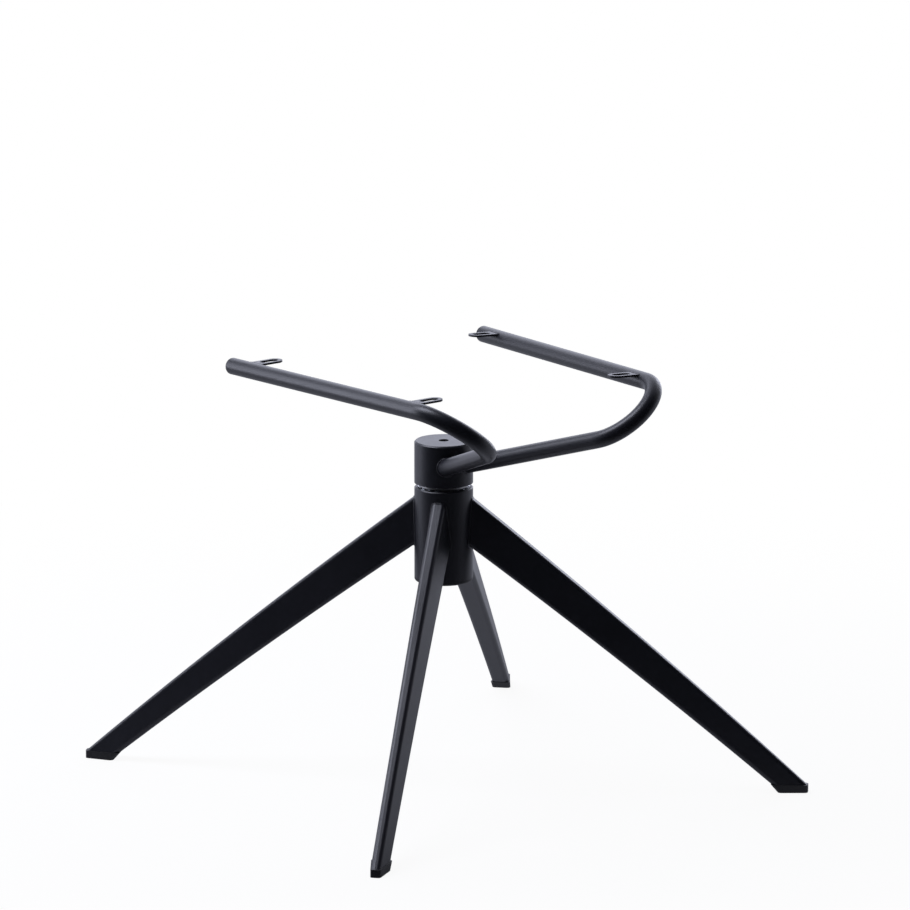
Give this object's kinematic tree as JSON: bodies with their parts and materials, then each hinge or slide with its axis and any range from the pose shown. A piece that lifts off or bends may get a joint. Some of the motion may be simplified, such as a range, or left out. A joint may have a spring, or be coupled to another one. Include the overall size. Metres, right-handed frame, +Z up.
{
  "type": "swivel chair base",
  "caption": "Four-leg swivel chair base in black steel, with a ball-bearing head and bent seat tubes that carry slotted mounting tabs.",
  "frame": {"origin": "on the floor, on the column's vertical axis", "axes": "+Z up, -Y the way the seat faces, X across the seat"},
  "size_m": [0.5684, 0.5684, 0.4393],
  "materials": {
    "powder_coat": "black powder coat, satin, fine texture",
    "black_plastic": "moulded black plastic, fine grain",
    "bearing_steel": "ground bearing steel, bright",
    "machined_steel": "turned steel, lightly oiled",
    "zinc_plate": "bright zinc plate",
    "pressed_steel": "pressed steel sheet",
    "bronze": "sintered bronze, oil filled"
  },
  "bodies": {
    "base": {"column_tube": "powder_coat", "column_cap": "black_plastic", "upper_hub": "machined_steel", "lower_hub": "machined_steel", "upper_bush": "bronze", "lower_bush": "bronze", "lower_race": "bearing_steel", "leg_front_left": "powder_coat", "glide_front_left": "black_plastic", "leg_front_right": "powder_coat", "glide_front_right": "black_plastic", "leg_rear_right": "powder_coat", "glide_rear_right": "black_plastic", "leg_rear_left": "powder_coat", "glide_rear_left": "black_plastic"},
    "bearing_cage": {"ball_cage": "pressed_steel", "bearing_balls": "bearing_steel"},
    "seat_carrier": {"head_sleeve": "powder_coat", "head_plate": "powder_coat", "seat_tube_left": "powder_coat", "seat_tube_right": "powder_coat", "tab_front_left": "powder_coat", "tab_front_right": "powder_coat", "tab_rear_left": "powder_coat", "tab_rear_right": "powder_coat", "tube_plug_left": "black_plastic", "tube_plug_right": "black_plastic", "upper_race": "bearing_steel", "head_hub": "machined_steel", "spindle": "machined_steel", "thrust_washer": "machined_steel", "spindle_nut": "zinc_plate"}
  },
  "joints": [
    {"name": "head_swivel", "type": "hinge", "parent": "base", "child": "seat_carrier", "pos_m": [0, 0, 0.30675], "axis": [0, 0, 1], "continuous": true},
    {"name": "cage_turn", "type": "hinge", "parent": "base", "child": "bearing_cage", "pos_m": [0, 0, 0.30675], "axis": [0, 0, 1], "continuous": true}
  ],
  "couplings": [
    {"joint": "cage_turn", "follows": "head_swivel", "ratio": 0.5}
  ]
}
